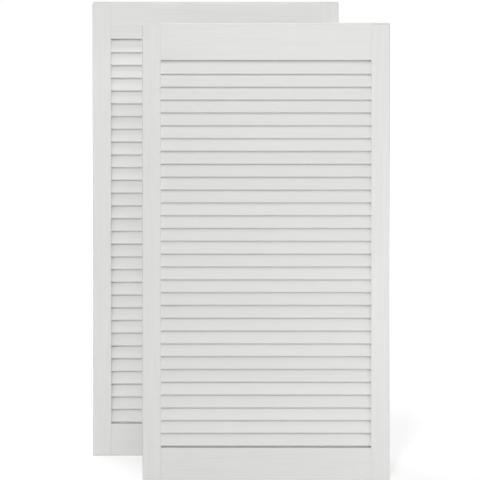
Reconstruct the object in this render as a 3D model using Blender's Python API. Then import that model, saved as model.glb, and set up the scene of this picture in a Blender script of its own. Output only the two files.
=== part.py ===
"""A pair of louvered doors: two equal leaves of painted pine, standing upright one behind the other.

Each leaf is a dowelled frame of two stiles and two rails. Thirty fixed slats slope down towards the front,
their ends housed in slanted slots in the stiles. The two rails are the same bar, one of them turned over.
Metres, +Z up, fronts towards -Y, origin on the floor under the middle of the pair.
"""

import math

import bmesh
import bpy
from mathutils import Matrix

# Driving dimensions: the frame of a leaf
LEAF_HEIGHT = 0.993
LEAF_WIDTH = 0.533
LEAF_THICKNESS = 0.028
STILE_WIDTH = 0.040
RAIL_HEIGHT = 0.0775
OUTER_ARRIS = 0.002
INNER_ARRIS = 0.001

# Driving dimensions: the slats, their slots, and the rebate where an end slat laps past a rail
SLAT_COUNT = 30
SLAT_WIDTH = 0.039
SLAT_THICKNESS = 0.006
SLAT_TILT = math.radians(20)
SLOT_DEPTH = 0.008
REBATE_HEIGHT = 0.0075
REBATE_CLEARANCE = 0.0035
END_SLAT_GAP = 0.0022

# Driving dimensions: the dowels, two across each joint
DOWEL_DIAMETER = 0.008
DOWEL_LENGTH = 0.040
DOWEL_CHAMFER = 0.001
DOWEL_SPACING = 0.032
DOWEL_END_GAP = 0.001

# Driving dimensions: how far the rear leaf stands to the left of and behind the front one
STAGGER_SIDE = 0.109
STAGGER_BACK = 0.313

# Gap between pieces that touch
CLEARANCE = 0.0003

# Facets across a rounded arris and round a slat's nose and a dowel
ARRIS_SEGMENTS = 2
NOSE_SEGMENTS = 4
DOWEL_SEGMENTS = 12

# What follows from them, in a leaf's own frame, whose origin is the leaf's middle
OPENING_WIDTH = LEAF_WIDTH - 2 * STILE_WIDTH
OUTER_EDGE = LEAF_HEIGHT / 2
RAIL_INNER_EDGE = OUTER_EDGE - RAIL_HEIGHT
RAIL_SHOULDER = RAIL_INNER_EDGE + REBATE_HEIGHT
SLAT_FLAT = SLAT_WIDTH - SLAT_THICKNESS
SLAT_RISE = SLAT_FLAT * math.cos(SLAT_TILT) + SLAT_THICKNESS
TOP_SLAT = RAIL_SHOULDER - END_SLAT_GAP - SLAT_RISE / 2
SLAT_PITCH = 2 * TOP_SLAT / (SLAT_COUNT - 1)
SLAT_LENGTH = OPENING_WIDTH + 2 * (SLOT_DEPTH - CLEARANCE)


def wood_finish(name, colour, roughness):
    """A Principled BSDF of one colour, for painted or bare wood."""
    material = bpy.data.materials.new(name)
    material.use_nodes = True
    shader = material.node_tree.nodes["Principled BSDF"]
    shader.inputs["Base Color"].default_value = (*colour, 1.0)
    shader.inputs["Roughness"].default_value = roughness
    shader.inputs["Metallic"].default_value = 0.0
    return material


def finished_mesh(name, shape, material, smooth_up_to):
    """Turns a bmesh into a mesh, smooth over edges up to the given angle and sharp over the others."""
    bmesh.ops.recalc_face_normals(shape, faces=shape.faces)
    mesh = bpy.data.meshes.new(name)
    shape.to_mesh(mesh)
    shape.free()
    mesh.materials.append(material)
    mesh.shade_smooth()
    mesh.set_sharp_from_angle(angle=smooth_up_to)
    return mesh


def frame_member_mesh(name, shape, material):
    """Planed stock: every face flat, so no edge is smooth."""
    return finished_mesh(name, shape, material, 0)


def turned_mesh(name, shape, material):
    """A slat's noses and a dowel's side: smooth from facet to facet."""
    return finished_mesh(name, shape, material, math.radians(50))


def round_edges(shape, edges, radius, segments):
    bmesh.ops.bevel(shape, geom=edges, offset=radius, segments=segments, profile=0.5, affect="EDGES")


def place(name, mesh, leaf, location=(0, 0, 0), turn=0.0):
    """Adds a piece to a leaf, turned about the leaf's cross axis."""
    piece = bpy.data.objects.new(name, mesh)
    bpy.context.scene.collection.objects.link(piece)
    piece.parent = leaf
    piece.location = location
    piece.rotation_euler = (turn, 0, 0)
    return piece


def place_cutter(name, mesh, leaf, location=(0, 0, 0)):
    cutter = place(name, mesh, leaf, location)
    cutter.hide_render = True
    cutter.display_type = "WIRE"
    return cutter


def combine(piece, other, operation):
    boolean = piece.modifiers.new(operation.title(), "BOOLEAN")
    boolean.solver = "EXACT"
    boolean.operation = operation
    boolean.object = other


def add_bar(shape, section, length):
    """Adds a centred bar along X, its section a loop of (y, z) points. Returns the vertices of both ends."""
    near_end = [shape.verts.new((-length / 2, y, z)) for y, z in section]
    cap = shape.faces.new(near_end)
    swept = bmesh.ops.extrude_face_region(shape, geom=[cap], use_keep_orig=True)["geom"]
    far_end = [item for item in swept if isinstance(item, bmesh.types.BMVert)]
    bmesh.ops.translate(shape, verts=far_end, vec=(length, 0, 0))
    return near_end, far_end


def slat_section(margin):
    """Outline of an upright slat with full round noses at both edges, grown by a margin."""
    radius = SLAT_THICKNESS / 2 + margin
    section = []
    for edge in (1, -1):
        for step in range(NOSE_SEGMENTS + 1):
            angle = math.pi * step / NOSE_SEGMENTS
            height = SLAT_FLAT / 2 + radius * math.sin(angle)
            section.append((edge * radius * math.cos(angle), edge * height))
    return section


def slat_height(number):
    """Height of a slat's middle, counted from the top slat down."""
    return TOP_SLAT - number * SLAT_PITCH


def slat_mesh(material):
    shape = bmesh.new()
    add_bar(shape, slat_section(0), SLAT_LENGTH)
    return turned_mesh("slat", shape, material)


def slat_bank_mesh(name, margin, length, material):
    """All the slats of a leaf in their places. Grown by a margin, it is the form that cuts the slots."""
    shape = bmesh.new()
    tilt = Matrix.Rotation(-SLAT_TILT, 4, "X")
    for number in range(SLAT_COUNT):
        near_end, far_end = add_bar(shape, slat_section(margin), length)
        up = Matrix.Translation((0, 0, slat_height(number)))
        bmesh.ops.transform(shape, matrix=up @ tilt, verts=near_end + far_end)
    return turned_mesh(name, shape, material)


def stile_mesh(side, material):
    """The left (-1) or right (+1) stile. Its arrises are rounded outside and eased along the opening."""
    shape = bmesh.new()
    bmesh.ops.create_cube(shape, size=1)
    bmesh.ops.scale(shape, verts=shape.verts, vec=(STILE_WIDTH, LEAF_THICKNESS, LEAF_HEIGHT))

    def on_inner_face(edge):
        return all(vert.co.x * side < 0 for vert in edge.verts)

    round_edges(shape, [edge for edge in shape.edges if not on_inner_face(edge)], OUTER_ARRIS, ARRIS_SEGMENTS)
    upright = [edge for edge in shape.edges if edge.calc_length() > LEAF_HEIGHT / 2]
    round_edges(shape, [edge for edge in upright if on_inner_face(edge)], INNER_ARRIS, 1)
    bmesh.ops.translate(shape, verts=shape.verts, vec=(side * (LEAF_WIDTH - STILE_WIDTH) / 2, 0, 0))
    return frame_member_mesh("stile", shape, material)


def rebate_face(height):
    """Depth of the rebate's slanted face, which lies parallel to the top slat, a clearance in front."""
    offset = (SLAT_THICKNESS / 2 + REBATE_CLEARANCE) / math.cos(SLAT_TILT)
    return (height - TOP_SLAT) * math.tan(SLAT_TILT) - offset


def rail_mesh(material):
    """The top rail, with a lip that hangs in front of the top slat. Turned over, it is the bottom rail."""
    front = -LEAF_THICKNESS / 2
    back = LEAF_THICKNESS / 2
    section = {
        "front_outer": (front, OUTER_EDGE),
        "front_inner": (front, RAIL_INNER_EDGE),
        "lip_end": (rebate_face(RAIL_INNER_EDGE), RAIL_INNER_EDGE),
        "lip_root": (rebate_face(RAIL_SHOULDER), RAIL_SHOULDER),
        "back_inner": (back, RAIL_SHOULDER),
        "back_outer": (back, OUTER_EDGE),
    }
    shape = bmesh.new()
    near_end, _ = add_bar(shape, section.values(), OPENING_WIDTH - 2 * CLEARANCE)
    long_edge = {}
    for corner, vert in zip(section, near_end):
        long_edge[corner] = next(edge for edge in vert.link_edges if edge.other_vert(vert) not in near_end)
    round_edges(shape, [long_edge["front_outer"], long_edge["back_outer"]], OUTER_ARRIS, ARRIS_SEGMENTS)
    round_edges(shape, [long_edge["front_inner"], long_edge["back_inner"]], INNER_ARRIS, 1)
    return frame_member_mesh("rail", shape, material)


def peg_shape(diameter, length):
    """A round peg along X."""
    shape = bmesh.new()
    bmesh.ops.create_cone(
        shape,
        cap_ends=True,
        segments=DOWEL_SEGMENTS,
        radius1=diameter / 2,
        radius2=diameter / 2,
        depth=length,
        matrix=Matrix.Rotation(math.pi / 2, 4, "Y"),
    )
    return shape


def dowel_mesh(material):
    shape = peg_shape(DOWEL_DIAMETER, DOWEL_LENGTH)
    ends = [face for face in shape.faces if len(face.verts) == DOWEL_SEGMENTS]
    round_edges(shape, [edge for face in ends for edge in face.edges], DOWEL_CHAMFER, 1)
    return turned_mesh("dowel", shape, material)


def dowel_hole_mesh(material):
    shape = peg_shape(DOWEL_DIAMETER + 2 * CLEARANCE, DOWEL_LENGTH + 2 * DOWEL_END_GAP)
    return turned_mesh("dowel_hole", shape, material)


def dowel_places():
    """Rail, side and row of each dowel, with its middle on the joint between that rail and stile."""
    rail_middle = (OUTER_EDGE + RAIL_SHOULDER) / 2
    rows = {"outer": rail_middle + DOWEL_SPACING / 2, "inner": rail_middle - DOWEL_SPACING / 2}
    for rail, up in (("top", 1), ("bottom", -1)):
        for side, across in (("left", -1), ("right", 1)):
            for row, height in rows.items():
                yield rail, side, row, (across * OPENING_WIDTH / 2, 0, up * height)


def build_leaf(leaf_name, location, slats_apart):
    """One leaf. Its slats are pieces of their own, or one piece with the left stile that carries them."""
    leaf = bpy.data.objects.new(f"{leaf_name}_leaf", None)
    leaf.location = location
    bpy.context.scene.collection.objects.link(leaf)

    frame_paint = wood_finish(f"{leaf_name}_frame_paint", (0.78, 0.78, 0.77), 0.45)
    slat_paint = wood_finish(f"{leaf_name}_slat_paint", (0.76, 0.76, 0.75), 0.45)
    beech = wood_finish(f"{leaf_name}_beech", (0.60, 0.42, 0.25), 0.70)

    left_name = f"{leaf_name}_left_stile" if slats_apart else f"{leaf_name}_left_stile_and_slats"
    left_stile = place(left_name, stile_mesh(-1, frame_paint), leaf)
    right_stile = place(f"{leaf_name}_right_stile", stile_mesh(1, frame_paint), leaf)
    rail = rail_mesh(frame_paint)
    top_rail = place(f"{leaf_name}_top_rail", rail, leaf)
    bottom_rail = place(f"{leaf_name}_bottom_rail", rail, leaf, turn=math.pi)

    slots = slat_bank_mesh("slots", CLEARANCE, OPENING_WIDTH + 2 * SLOT_DEPTH, slat_paint)
    slot_cutter = place_cutter(f"{leaf_name}_slot_cutter", slots, leaf)
    combine(right_stile, slot_cutter, "DIFFERENCE")
    if slats_apart:
        combine(left_stile, slot_cutter, "DIFFERENCE")
        slat = slat_mesh(slat_paint)
        for number in range(SLAT_COUNT):
            slat_name = f"{leaf_name}_slat_{number + 1:02d}"
            place(slat_name, slat, leaf, (0, 0, slat_height(number)), -SLAT_TILT)
    else:
        bank = slat_bank_mesh("slat_bank", 0, SLAT_LENGTH, slat_paint)
        combine(left_stile, place_cutter(f"{leaf_name}_slat_bank", bank, leaf), "UNION")

    dowel = dowel_mesh(beech)
    hole = dowel_hole_mesh(frame_paint)
    members = {"left": left_stile, "right": right_stile, "top": top_rail, "bottom": bottom_rail}
    for rail_name, side_name, row, middle in dowel_places():
        joint_name = f"{rail_name}_{side_name}_{row}"
        place(f"{leaf_name}_dowel_{joint_name}", dowel, leaf, middle)
        drill = place_cutter(f"{leaf_name}_drill_{joint_name}", hole, leaf, middle)
        combine(members[rail_name], drill, "DIFFERENCE")
        combine(members[side_name], drill, "DIFFERENCE")


for old in list(bpy.data.objects):
    bpy.data.objects.remove(old)

build_leaf("front", (STAGGER_SIDE / 2, -STAGGER_BACK / 2, LEAF_HEIGHT / 2), slats_apart=True)
build_leaf("rear", (-STAGGER_SIDE / 2, STAGGER_BACK / 2, LEAF_HEIGHT / 2), slats_apart=False)
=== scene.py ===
import math

import bmesh
import bpy
from mathutils import Matrix, Vector


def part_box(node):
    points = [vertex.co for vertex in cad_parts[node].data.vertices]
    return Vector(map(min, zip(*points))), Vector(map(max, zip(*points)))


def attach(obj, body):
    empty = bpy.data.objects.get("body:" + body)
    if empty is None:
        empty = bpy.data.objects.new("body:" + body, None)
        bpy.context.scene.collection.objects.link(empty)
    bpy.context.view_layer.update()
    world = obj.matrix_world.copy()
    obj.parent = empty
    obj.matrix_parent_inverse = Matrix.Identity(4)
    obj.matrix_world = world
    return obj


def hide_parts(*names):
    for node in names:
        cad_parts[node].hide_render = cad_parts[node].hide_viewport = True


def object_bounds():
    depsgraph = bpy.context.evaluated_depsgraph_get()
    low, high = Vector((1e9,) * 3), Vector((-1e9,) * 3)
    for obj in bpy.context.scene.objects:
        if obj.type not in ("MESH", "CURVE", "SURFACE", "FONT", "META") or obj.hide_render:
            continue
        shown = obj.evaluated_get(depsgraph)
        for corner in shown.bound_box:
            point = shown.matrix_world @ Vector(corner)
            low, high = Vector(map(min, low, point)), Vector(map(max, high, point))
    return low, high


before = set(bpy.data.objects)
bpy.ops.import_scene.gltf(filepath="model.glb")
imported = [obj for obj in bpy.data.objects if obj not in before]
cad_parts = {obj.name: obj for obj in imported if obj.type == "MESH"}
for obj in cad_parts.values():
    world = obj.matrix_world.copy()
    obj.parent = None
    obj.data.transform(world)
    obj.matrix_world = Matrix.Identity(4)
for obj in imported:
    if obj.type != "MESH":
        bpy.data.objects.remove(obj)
cad_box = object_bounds()

# The pair: two equal leaves of one set, bare as they come from the joiner's shop, the rear one set off to
# the left. Both are made alike, so each piece is shaped once, round the middle of a leaf, and then fitted
# to both.
LEFT_STILE_NODE = {"front": "front_left_stile", "rear": "rear_left_stile_and_slats"}


def leaf_box(leaf):
    low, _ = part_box(LEFT_STILE_NODE[leaf])
    _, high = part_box(f"{leaf}_right_stile")
    return low, high


leaf_low, leaf_high = leaf_box("front")
LEAF_WIDTH, LEAF_THICKNESS, LEAF_HEIGHT = leaf_high - leaf_low


def fit_to_leaf(leaf, name, mesh, slot, *nodes):
    """Sets a copy of a piece in place on a leaf, where it moves with the leaf and stands for these nodes."""
    low, high = leaf_box(leaf)
    piece = bpy.data.objects.new(f"{leaf}_{name}", mesh.copy())
    piece.data.transform(Matrix.Translation((low + high) / 2))
    bpy.context.scene.collection.objects.link(piece)
    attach(piece, f"{leaf}_leaf")
    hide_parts(*nodes)


# Slats: planed pine strips with rounded noses, thirty to a leaf, sloping down towards the front. Their ends
# sit dry in slots in the stiles, and the door is sprayed when it is whole, so no two slats lie or look quite
# alike.
STILE_WIDTH = 0.040
RAIL_HEIGHT = 0.0775
REBATE_HEIGHT = 0.0075
SLAT_COUNT = 30
SLAT_WIDTH = 0.039
SLAT_THICKNESS = 0.006
SLAT_TILT = math.radians(20)
SLAT_NOSE = 0.0027
NOSE_FACETS = 6
SLAT_LOOSE_SEAT = 0.0001
SLAT_LOOSE_TILT = math.radians(0.2)
# How far each slat is mixed towards the darker slat tint: the lower end is painted shade on every slat, the
# spread above it is random.
SLAT_TONES_AND_PAINTED_SHADE = (0.35, 0.65)
END_SLAT_GAP = 0.0022
SLOT_DEPTH = 0.008
SLOT_CLEARANCE = 0.0003
SMOOTH_UP_TO = math.radians(50)

OPENING_WIDTH = LEAF_WIDTH - 2 * STILE_WIDTH
RAIL_INNER_EDGE = LEAF_HEIGHT / 2 - RAIL_HEIGHT
RAIL_SHOULDER = RAIL_INNER_EDGE + REBATE_HEIGHT
SLAT_RISE = (SLAT_WIDTH - SLAT_THICKNESS) * math.cos(SLAT_TILT) + SLAT_THICKNESS
TOP_SLAT = RAIL_SHOULDER - END_SLAT_GAP - SLAT_RISE / 2
SLAT_PITCH = 2 * TOP_SLAT / (SLAT_COUNT - 1)


def linear(hex_colour):
    """Linear RGBA of an sRGB hex value."""
    channels = [int(hex_colour[start : start + 2], 16) / 255 for start in (1, 3, 5)]
    return [c / 12.92 if c <= 0.04045 else ((c + 0.055) / 1.055) ** 2.4 for c in channels] + [1.0]


def add_node(tree, kind, inputs, **settings):
    """Adds a node with its settings. Each input is a value, or the output of another node to link it to."""
    node = tree.nodes.new(kind)
    for name, value in settings.items():
        setattr(node, name, value)
    for name, value in inputs.items():
        if isinstance(value, bpy.types.NodeSocket):
            tree.links.new(value, node.inputs[name])
        else:
            node.inputs[name].default_value = value
    return node


def satin_paint_on_pine(name, grain_axis):
    """Sprayed satin acrylic paint on planed pine, an almost neutral off-white.

    The eye gets an even, soft sheen. The grain stands up a little under the paint and shows in faint
    streaks, and the spray dries to a slight orange peel. Paint draws thin on rounded edges, and end grain
    soaks it up.
    """
    streak_width = 0.004
    streak_height = 0.00004
    streak_strength = 0.24
    squeeze = 0.03
    streak_scale = {"X": (squeeze, 1, 1), "Z": (1, 1, squeeze)}[grain_axis]
    # Real orange peel is about 1 mm across. It is drawn three times as coarse, so that it shows.
    peel_size = 0.003
    peel_height = 0.000015
    patch_size = 0.12
    smoothest, roughest = 0.40, 0.52

    material = bpy.data.materials.new(name)
    material.use_nodes = True
    tree = material.node_tree

    place = add_node(tree, "ShaderNodeTexCoord", {}).outputs["Object"]
    along_grain = add_node(tree, "ShaderNodeMapping", {"Vector": place, "Scale": streak_scale})
    streaks = add_node(
        tree,
        "ShaderNodeTexNoise",
        {"Vector": along_grain.outputs["Vector"], "Scale": 1 / streak_width, "Detail": 3.0, "Roughness": 0.6},
    )
    peel = add_node(tree, "ShaderNodeTexNoise", {"Vector": place, "Scale": 1 / peel_size, "Detail": 1.0})
    patches = add_node(tree, "ShaderNodeTexNoise", {"Vector": place, "Scale": 1 / patch_size, "Detail": 2.0})

    # Base colour: the even coat, the grain under it, then on the slats a random tint for each with painted
    # shade that darkens them all, thin paint on the arrises, and the end grain.
    colour = add_node(
        tree,
        "ShaderNodeMix",
        {"Factor": patches.outputs["Fac"], "A": linear("#e8e8e7"), "B": linear("#e4e4e3")},
        data_type="RGBA",
    )
    under_paint = add_node(
        tree,
        "ShaderNodeMapRange",
        {"Value": streaks.outputs["Fac"], "From Min": 0.4, "From Max": 0.7, "To Max": streak_strength},
    )
    layers = [(under_paint.outputs["Result"], "#d6d6d2")]
    # On the slats, #dadad8 is partly painted shade, which darkens every slat, and partly a random tint for
    # each.
    for feature, tint in (("slat_tone_and_painted_shade", "#dadad8"), ("arris", "#e0e0dd"), ("end_grain", "#dcdcd8")):
        share = add_node(tree, "ShaderNodeAttribute", {}, attribute_name=feature)
        layers.append((share.outputs["Fac"], tint))
    for share, tint in layers:
        colour = add_node(
            tree,
            "ShaderNodeMix",
            {"Factor": share, "A": colour.outputs["Result"], "B": linear(tint)},
            data_type="RGBA",
        )

    sheen = add_node(
        tree,
        "ShaderNodeMapRange",
        {"Value": peel.outputs["Fac"], "To Min": smoothest, "To Max": roughest},
    )
    grain_relief = add_node(
        tree, "ShaderNodeBump", {"Height": streaks.outputs["Fac"], "Distance": streak_height}
    )
    relief = add_node(
        tree,
        "ShaderNodeBump",
        {"Height": peel.outputs["Fac"], "Distance": peel_height, "Normal": grain_relief.outputs["Normal"]},
    )
    shader = tree.nodes["Principled BSDF"]
    tree.links.new(colour.outputs["Result"], shader.inputs["Base Color"])
    tree.links.new(sheen.outputs["Result"], shader.inputs["Roughness"])
    tree.links.new(relief.outputs["Normal"], shader.inputs["Normal"])
    return material


def louvre_tree():
    """Geometry nodes for a leaf's slats: one strip, repeated downwards, each a little loose in its seat."""
    tree = bpy.data.node_groups.new("louvre", "GeometryNodeTree")
    for name, kind in (
        ("Slat Count", "NodeSocketInt"),
        ("Top Slat", "NodeSocketFloat"),
        ("Pitch", "NodeSocketFloat"),
        ("Tilt", "NodeSocketFloat"),
        ("Width", "NodeSocketFloat"),
        ("Thickness", "NodeSocketFloat"),
        ("Length", "NodeSocketFloat"),
        ("Nose", "NodeSocketFloat"),
        ("Loose Seat", "NodeSocketFloat"),
        ("Loose Tilt", "NodeSocketFloat"),
        ("Seed", "NodeSocketInt"),
        ("Paint", "NodeSocketMaterial"),
    ):
        tree.interface.new_socket(name, in_out="INPUT", socket_type=kind)
    tree.interface.new_socket("Slats", in_out="OUTPUT", socket_type="NodeSocketGeometry")
    size = add_node(tree, "NodeGroupInput", {}).outputs

    # One slat, lying along X from the origin.
    section = add_node(
        tree,
        "GeometryNodeCurvePrimitiveQuadrilateral",
        {"Width": size["Thickness"], "Height": size["Width"]},
    )
    nosed = add_node(
        tree,
        "GeometryNodeFilletCurve",
        {"Curve": section.outputs["Curve"], "Count": NOSE_FACETS, "Radius": size["Nose"]},
        mode="POLY",
    )
    run = add_node(
        tree,
        "GeometryNodeCurvePrimitiveLine",
        {"Direction": (1, 0, 0), "Length": size["Length"]},
        mode="DIRECTION",
    )
    slat = add_node(
        tree,
        "GeometryNodeCurveToMesh",
        {"Curve": run.outputs["Curve"], "Profile Curve": nosed.outputs["Curve"], "Fill Caps": True},
    )

    # The seats, from the top slat down, and how each slat lies in its own.
    start = add_node(tree, "ShaderNodeMath", {0: size["Length"], 1: -0.5}, operation="MULTIPLY")
    top = add_node(tree, "ShaderNodeCombineXYZ", {"X": start.outputs["Value"], "Z": size["Top Slat"]})
    drop = add_node(tree, "ShaderNodeMath", {0: size["Pitch"], 1: -1.0}, operation="MULTIPLY")
    step = add_node(tree, "ShaderNodeCombineXYZ", {"Z": drop.outputs["Value"]})
    seats = add_node(
        tree,
        "GeometryNodeMeshLine",
        {
            "Count": size["Slat Count"],
            "Start Location": top.outputs["Vector"],
            "Offset": step.outputs["Vector"],
        },
        mode="OFFSET",
    )
    shake = add_node(
        tree,
        "FunctionNodeRandomValue",
        {"Min": (-1, -1, -1), "Max": (1, 1, 1), "Seed": size["Seed"]},
        data_type="FLOAT_VECTOR",
    )
    play = add_node(
        tree,
        "ShaderNodeVectorMath",
        {"Vector": shake.outputs["Value"], "Scale": size["Loose Seat"]},
        operation="SCALE",
    )
    seated = add_node(
        tree,
        "GeometryNodeSetPosition",
        {"Geometry": seats.outputs["Mesh"], "Offset": play.outputs["Vector"]},
    )
    rock = add_node(
        tree,
        "FunctionNodeRandomValue",
        {"Min": -1.0, "Max": 1.0, "Seed": size["Seed"]},
        data_type="FLOAT",
    )
    slope = add_node(
        tree,
        "ShaderNodeMath",
        {0: rock.outputs["Value"], 1: size["Loose Tilt"], 2: size["Tilt"]},
        operation="MULTIPLY_ADD",
    )
    turn = add_node(
        tree,
        "FunctionNodeAxisAngleToRotation",
        {"Axis": (-1, 0, 0), "Angle": slope.outputs["Value"]},
    )
    bank = add_node(
        tree,
        "GeometryNodeInstanceOnPoints",
        {
            "Points": seated.outputs["Geometry"],
            "Instance": slat.outputs["Mesh"],
            "Rotation": turn.outputs["Rotation"],
        },
    )

    # What the paint reads: for each slat a random tint on top of painted shade that darkens every slat, and
    # where its noses are, which are its narrow faces.
    tone_and_shade_draw = add_node(
        tree,
        "FunctionNodeRandomValue",
        {"Min": SLAT_TONES_AND_PAINTED_SHADE[0], "Max": SLAT_TONES_AND_PAINTED_SHADE[1], "Seed": size["Seed"]},
        data_type="FLOAT",
    )
    with_tone_and_shade = add_node(
        tree,
        "GeometryNodeStoreNamedAttribute",
        {"Geometry": bank.outputs["Instances"], "Name": "slat_tone_and_painted_shade", "Value": tone_and_shade_draw.outputs["Value"]},
        data_type="FLOAT",
        domain="INSTANCE",
    )
    whole = add_node(tree, "GeometryNodeRealizeInstances", {"Geometry": with_tone_and_shade.outputs["Geometry"]})
    area = add_node(tree, "GeometryNodeInputMeshFaceArea", {})
    narrow = add_node(tree, "ShaderNodeMath", {0: size["Length"], 1: size["Thickness"]}, operation="MULTIPLY")
    nose = add_node(
        tree,
        "ShaderNodeMath",
        {0: area.outputs["Area"], 1: narrow.outputs["Value"]},
        operation="LESS_THAN",
    )
    marked = add_node(
        tree,
        "GeometryNodeStoreNamedAttribute",
        {"Geometry": whole.outputs["Geometry"], "Name": "arris", "Value": nose.outputs["Value"]},
        data_type="FLOAT",
        domain="FACE",
    )
    painted = add_node(
        tree,
        "GeometryNodeSetMaterial",
        {"Geometry": marked.outputs["Geometry"], "Material": size["Paint"]},
    )
    add_node(tree, "NodeGroupOutput", {"Slats": painted.outputs["Geometry"]})
    return tree


def plain_mesh(shape):
    """The mesh that an object's modifiers give. The object isn't needed after that."""
    graph = bpy.context.evaluated_depsgraph_get()
    mesh = bpy.data.meshes.new_from_object(
        shape.evaluated_get(graph), preserve_all_data_layers=True, depsgraph=graph
    )
    bpy.data.objects.remove(shape)
    return mesh


def holding(name, mesh):
    """An object that holds a mesh while modifiers work on it."""
    shape = bpy.data.objects.new(name, mesh)
    bpy.context.scene.collection.objects.link(shape)
    return shape


def shaded(mesh):
    """Rounded edges shade smoothly, while broad faces keep their own direction."""
    mesh.shade_smooth()
    mesh.set_sharp_from_angle(angle=SMOOTH_UP_TO)
    shape = holding("shaded", mesh)
    shape.modifiers.new("broad_faces_lead", "WEIGHTED_NORMAL").keep_sharp = True
    return plain_mesh(shape)


louvre = louvre_tree()


def louvre_mesh(**sizes):
    """The slats of a leaf with these sizes, as a plain mesh round the leaf's middle."""
    shape = holding("louvre", bpy.data.meshes.new("louvre"))
    modifier = shape.modifiers.new("louvre", "NODES")
    modifier.node_group = louvre
    for item in louvre.interface.items_tree:
        if item.name in sizes:
            modifier[item.identifier] = sizes[item.name]
    mesh = plain_mesh(shape)
    # The strip starts with an empty material slot ahead of its paint.
    mesh.materials.pop(index=0)
    return mesh


slat_paint = satin_paint_on_pine("satin_paint_on_pine_slats", "X")
slat_sizes = {
    "Slat Count": SLAT_COUNT,
    "Top Slat": TOP_SLAT,
    "Pitch": SLAT_PITCH,
    "Tilt": SLAT_TILT,
    "Paint": slat_paint,
}
front_nodes = [f"front_slat_{number:02d}" for number in range(1, SLAT_COUNT + 1)]
for leaf, seed, nodes in (("front", 3, front_nodes), ("rear", 8, [LEFT_STILE_NODE["rear"]])):
    slats = louvre_mesh(
        **slat_sizes,
        **{
            "Width": SLAT_WIDTH,
            "Thickness": SLAT_THICKNESS,
            "Length": OPENING_WIDTH + 2 * (SLOT_DEPTH - SLOT_CLEARANCE),
            "Nose": SLAT_NOSE,
            "Loose Seat": SLAT_LOOSE_SEAT,
            "Loose Tilt": SLAT_LOOSE_TILT,
            "Seed": seed,
        },
    )
    fit_to_leaf(leaf, "painted_slats", shaded(slats), "slat_paint", *nodes)


# Stiles: the uprights, pine planed square and run the full height of the leaf. Their outer arrises are
# rounded, and their inner edges carry a slanted slot for every slat end. The sawn ends at head and foot are
# end grain.
OUTER_ARRIS = 0.002
INNER_ARRIS = 0.001
ARRIS_FACETS = 5
END_GRAIN_UP_TO = math.radians(30)

stile_paint = satin_paint_on_pine("satin_paint_on_pine_stiles", "Z")


def round_arrises(shape, edges, radius):
    """Rounds these edges, and marks the new faces for the paint."""
    arris = shape.faces.layers.float.get("arris") or shape.faces.layers.float.new("arris")
    rounded = bmesh.ops.bevel(
        shape, geom=edges, offset=radius, segments=ARRIS_FACETS, profile=0.5, affect="EDGES"
    )
    for face in rounded["faces"]:
        face[arris] = 1.0


def planed_mesh(name, shape, paint):
    bmesh.ops.recalc_face_normals(shape, faces=shape.faces)
    mesh = bpy.data.meshes.new(name)
    shape.to_mesh(mesh)
    shape.free()
    mesh.materials.append(paint)
    return mesh


def stile_mesh(side, slots):
    """The left (-1) or right (+1) stile, with its slots cut."""
    shape = bmesh.new()
    bmesh.ops.create_cube(shape, size=1)
    bmesh.ops.scale(shape, verts=shape.verts, vec=(STILE_WIDTH, LEAF_THICKNESS, LEAF_HEIGHT))

    def on_inner_face(edge):
        return all(vert.co.x * side < 0 for vert in edge.verts)

    round_arrises(shape, [edge for edge in shape.edges if not on_inner_face(edge)], OUTER_ARRIS)
    upright = [edge for edge in shape.edges if edge.calc_length() > LEAF_HEIGHT / 2]
    round_arrises(shape, [edge for edge in upright if on_inner_face(edge)], INNER_ARRIS)
    end_grain = shape.faces.layers.float.new("end_grain")
    for face in shape.faces:
        face[end_grain] = float(abs(face.normal.z) > math.cos(END_GRAIN_UP_TO))
    bmesh.ops.translate(shape, verts=shape.verts, vec=(side * (LEAF_WIDTH - STILE_WIDTH) / 2, 0, 0))

    stile = holding("stile", planed_mesh("stile", shape, stile_paint))
    cut = stile.modifiers.new("slots", "BOOLEAN")
    cut.solver = "EXACT"
    cut.object = slots
    return shaded(plain_mesh(stile))


slots = holding(
    "slots",
    louvre_mesh(
        **slat_sizes,
        **{
            "Width": SLAT_WIDTH + 2 * SLOT_CLEARANCE,
            "Thickness": SLAT_THICKNESS + 2 * SLOT_CLEARANCE,
            "Length": OPENING_WIDTH + 2 * SLOT_DEPTH,
            "Nose": SLAT_NOSE + SLOT_CLEARANCE,
            "Loose Seat": 0.0,
            "Loose Tilt": 0.0,
            "Seed": 0,
        },
    ),
)
left_stile = stile_mesh(-1, slots)
right_stile = stile_mesh(1, slots)
bpy.data.objects.remove(slots)
for leaf in ("front", "rear"):
    fit_to_leaf(leaf, "painted_left_stile", left_stile, "frame_paint", LEFT_STILE_NODE[leaf])
    fit_to_leaf(leaf, "painted_right_stile", right_stile, "frame_paint", f"{leaf}_right_stile")


# Rails: two bars of the same pine section, butted between the stiles, with their ends eased so that the
# joints show as fine grooves. A slanted rebate lets the end slat lap past the rail, behind its lip at the top
# and at the bottom in front of it, because the bottom rail is the top one turned over.
REBATE_CLEARANCE = 0.0035
RAIL_END_ARRIS = 0.0006

rail_paint = satin_paint_on_pine("satin_paint_on_pine_rails", "X")


def rebate_face(height):
    """Depth of the rebate's slanted face, parallel to the top slat and a clearance in front of it."""
    offset = (SLAT_THICKNESS / 2 + REBATE_CLEARANCE) / math.cos(SLAT_TILT)
    return (height - TOP_SLAT) * math.tan(SLAT_TILT) - offset


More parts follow.
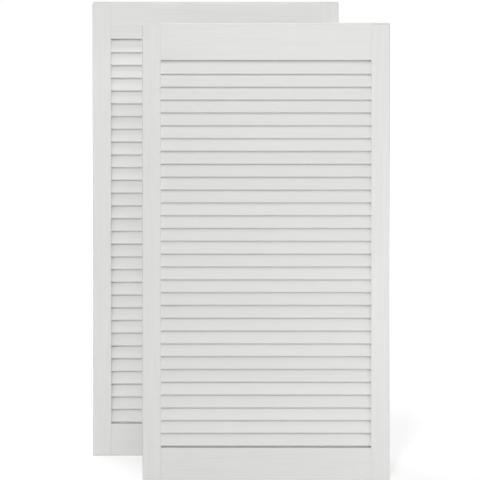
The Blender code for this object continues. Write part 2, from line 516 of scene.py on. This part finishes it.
def top_rail_mesh():
    front = -LEAF_THICKNESS / 2
    back = LEAF_THICKNESS / 2
    half_length = OPENING_WIDTH / 2
    section = {
        "front_outer": (front, LEAF_HEIGHT / 2),
        "front_inner": (front, RAIL_INNER_EDGE),
        "lip_end": (rebate_face(RAIL_INNER_EDGE), RAIL_INNER_EDGE),
        "lip_root": (rebate_face(RAIL_SHOULDER), RAIL_SHOULDER),
        "back_inner": (back, RAIL_SHOULDER),
        "back_outer": (back, LEAF_HEIGHT / 2),
    }
    shape = bmesh.new()
    near_end = [shape.verts.new((-half_length, *corner)) for corner in section.values()]
    swept = bmesh.ops.extrude_face_region(shape, geom=[shape.faces.new(near_end)], use_keep_orig=True)
    far_end = [item for item in swept["geom"] if isinstance(item, bmesh.types.BMVert)]
    bmesh.ops.translate(shape, verts=far_end, vec=(2 * half_length, 0, 0))
    long_edge = {}
    for corner, vert in zip(section, near_end):
        long_edge[corner] = next(edge for edge in vert.link_edges if edge.other_vert(vert) not in near_end)
    for radius, corners in (
        (OUTER_ARRIS, ("front_outer", "back_outer")),
        (INNER_ARRIS, ("front_inner", "back_inner", "lip_end")),
    ):
        round_arrises(shape, [long_edge[corner] for corner in corners], radius)
    end_edges = [edge for edge in shape.edges if edge.calc_length() < half_length]
    round_arrises(shape, end_edges, RAIL_END_ARRIS)
    return shaded(planed_mesh("rail", shape, rail_paint))


top_rail = top_rail_mesh()
bottom_rail = top_rail.copy()
bottom_rail.transform(Matrix.Rotation(math.pi, 4, "X"))
for leaf in ("front", "rear"):
    fit_to_leaf(leaf, "painted_top_rail", top_rail, "frame_paint", f"{leaf}_top_rail")
    fit_to_leaf(leaf, "painted_bottom_rail", bottom_rail, "frame_paint", f"{leaf}_bottom_rail")


# Dowels: turned beech pegs, two glued across each joint of stile and rail. They lie out of sight in blind
# holes, so the solids stay as they are and only get their wood.
def turned_beech():
    """Bare beech: a pale pink brown, matt, with short dark flecks along the grain."""
    fleck_length = 0.004
    fleck_width = 0.0006
    fleck_depth = 0.00005
    material = bpy.data.materials.new("turned_beech")
    material.use_nodes = True
    tree = material.node_tree
    place = add_node(tree, "ShaderNodeTexCoord", {}).outputs["Object"]
    along = add_node(
        tree,
        "ShaderNodeMapping",
        {"Vector": place, "Scale": (1 / fleck_length, 1 / fleck_width, 1 / fleck_width)},
    )
    flecks = add_node(
        tree, "ShaderNodeTexNoise", {"Vector": along.outputs["Vector"], "Scale": 1.0, "Detail": 2.0}
    )
    colour = add_node(
        tree,
        "ShaderNodeMix",
        {"Factor": flecks.outputs["Fac"], "A": linear("#d3ad82"), "B": linear("#b98a5e")},
        data_type="RGBA",
    )
    relief = add_node(tree, "ShaderNodeBump", {"Height": flecks.outputs["Fac"], "Distance": fleck_depth})
    shader = tree.nodes["Principled BSDF"]
    shader.inputs["Roughness"].default_value = 0.65
    tree.links.new(colour.outputs["Result"], shader.inputs["Base Color"])
    tree.links.new(relief.outputs["Normal"], shader.inputs["Normal"])
    return material


beech = turned_beech()
for name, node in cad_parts.items():
    if "_dowel_" in name:
        node.material_slots[0].material = beech


# Floor: a plain white studio sweep that the leaves stand on. To the camera and in reflections it is lifted
# to white where the light falls on it freely, more so further off, where the lamps no longer reach it. It
# keeps the soft shadow at the feet of the leaves.
FLOOR_REACH = 12.0
FLOOR_NEAR = 0.7
FLOOR_FAR = 2.2
FLOOR_LIFT_NEAR = 0.39
FLOOR_LIFT_FAR = 0.75


def seen_directly(tree):
    """1 on rays that show a surface itself, straight or mirrored, and 0 on rays that gather its light."""
    ray = add_node(tree, "ShaderNodeLightPath", {}).outputs
    seen = ray["Is Camera Ray"]
    for other_ray in ("Is Glossy Ray", "Is Transmission Ray"):
        either = add_node(tree, "ShaderNodeMath", {0: seen, 1: ray[other_ray]}, operation="MAXIMUM")
        seen = either.outputs["Value"]
    return seen


def studio_white():
    """Matt white paper: it throws light back evenly, with no gloss to speak of."""
    material = bpy.data.materials.new("studio_white")
    material.use_nodes = True
    tree = material.node_tree
    place = add_node(tree, "ShaderNodeTexCoord", {}).outputs["Object"]
    how_far = add_node(tree, "ShaderNodeVectorMath", {0: place}, operation="LENGTH")
    lift = add_node(
        tree,
        "ShaderNodeMapRange",
        {
            "Value": how_far.outputs["Value"],
            "From Min": FLOOR_NEAR,
            "From Max": FLOOR_FAR,
            "To Min": FLOOR_LIFT_NEAR,
            "To Max": FLOOR_LIFT_FAR,
        },
    )
    glow = add_node(
        tree, "ShaderNodeMath", {0: seen_directly(tree), 1: lift.outputs["Result"]}, operation="MULTIPLY"
    )
    shader = tree.nodes["Principled BSDF"]
    shader.inputs["Base Color"].default_value = linear("#e6e6e6")
    shader.inputs["Roughness"].default_value = 0.9
    shader.inputs["Emission Color"].default_value = (1, 1, 1, 1)
    tree.links.new(glow.outputs["Value"], shader.inputs["Emission Strength"])
    return material


floor_shape = bmesh.new()
bmesh.ops.create_grid(floor_shape, x_segments=1, y_segments=1, size=FLOOR_REACH)
floor_mesh = bpy.data.meshes.new("floor")
floor_shape.to_mesh(floor_mesh)
floor_shape.free()
floor_mesh.materials.append(studio_white())
floor = bpy.data.objects.new("floor", floor_mesh)
bpy.context.scene.collection.objects.link(floor)


# Light: a soft box far off in front, which leaves a thin shadow under every slat, and two behind, off the
# corners. Small fills even out the top, the feet and the rear leaf, one of them with a grid that keeps its
# light off the front leaf. The room adds a pale light from all round.
MIDDLE = (cad_box[0] + cad_box[1]) / 2
ROOM_LIGHT = 0.25


def soft_box(name, azimuth, elevation, distance, aim, size, power, spread=180):
    """A rectangular soft box, placed round the point that it is aimed at. A grid on it narrows its spread."""
    lamp = bpy.data.lights.new(name, "AREA")
    lamp.shape = "RECTANGLE"
    lamp.size, lamp.size_y = size
    lamp.energy = power
    lamp.spread = math.radians(spread)
    box = bpy.data.objects.new(name, lamp)
    turn, raised = math.radians(azimuth), math.radians(elevation)
    away = Vector((math.sin(turn) * math.cos(raised), -math.cos(turn) * math.cos(raised), math.sin(raised)))
    box.location = Vector(aim) + distance * away
    box.rotation_euler = away.to_track_quat("Z", "Y").to_euler()
    box.visible_camera = False
    bpy.context.scene.collection.objects.link(box)


soft_box("front", azimuth=-3, elevation=23, distance=8.0, aim=MIDDLE, size=(0.6, 1.6), power=186)
for name, azimuth in (("behind_left", -140), ("behind_right", 140)):
    soft_box(name, azimuth, elevation=20, distance=4.0, aim=MIDDLE, size=(2.0, 2.0), power=50)
for name, azimuth, elevation, distance, aim, size, power, spread in (
    ("upper", 0, 42, 1.0, (0.05, -0.16, 0.85), (0.9, 0.15), 2.0, 180),
    ("low", 30, 3, 1.4, (0.0, 0.0, 0.2), (1.2, 0.3), 3.4, 180),
    ("rear_side", -54, 3, 0.6, (-0.27, 0.157, 0.5), (0.2, 1.2), 0.45, 180),
    ("rear_front", -22, 6, 0.7, (-0.266, 0.157, 0.42), (0.1, 0.9), 0.08, 36),
    ("rear_low", -40, 2, 0.6, (-0.27, 0.157, 0.1), (0.3, 0.12), 0.19, 180),
    ("rear_top", 0, 72, 0.7, (0.0, 0.14, 0.9), (1.0, 0.1), 1.6, 180),
):
    soft_box(name, azimuth, elevation, distance, aim, size, power, spread)

world = bpy.data.worlds.new("pale_room")
world.use_nodes = True
bpy.context.scene.world = world
strength = add_node(
    world.node_tree,
    "ShaderNodeMapRange",
    {"Value": seen_directly(world.node_tree), "To Min": ROOM_LIGHT, "To Max": 1.0},
)
room = world.node_tree.nodes["Background"]
room.inputs["Color"].default_value = (1, 1, 1, 1)
world.node_tree.links.new(strength.outputs["Result"], room.inputs["Strength"])


# Camera: far off with a very long lens, and raised a little, so that the rear leaf shows above and beside
# the front one at the same size, as in the photograph.
CAMERA_RAISED = math.radians(9)
CAMERA_DISTANCE = 43.0
PICTURE_WIDTH = 1.0341
FRONT_FACE_NEARER = 0.155
AIM = MIDDLE + Vector((-0.0015, 0, 0.0005))

camera_data = bpy.data.cameras.new("camera")
camera_data.sensor_width = 36.0
camera_data.lens = camera_data.sensor_width * (CAMERA_DISTANCE - FRONT_FACE_NEARER) / PICTURE_WIDTH
camera_data.clip_end = 100.0
camera = bpy.data.objects.new("camera", camera_data)
towards_camera = Vector((0, -math.cos(CAMERA_RAISED), math.sin(CAMERA_RAISED)))
camera.location = AIM + CAMERA_DISTANCE * towards_camera
camera.rotation_euler = towards_camera.to_track_quat("Z", "Y").to_euler()
bpy.context.scene.collection.objects.link(camera)
bpy.context.scene.camera = camera
bpy.context.scene.view_settings.view_transform = "Standard"
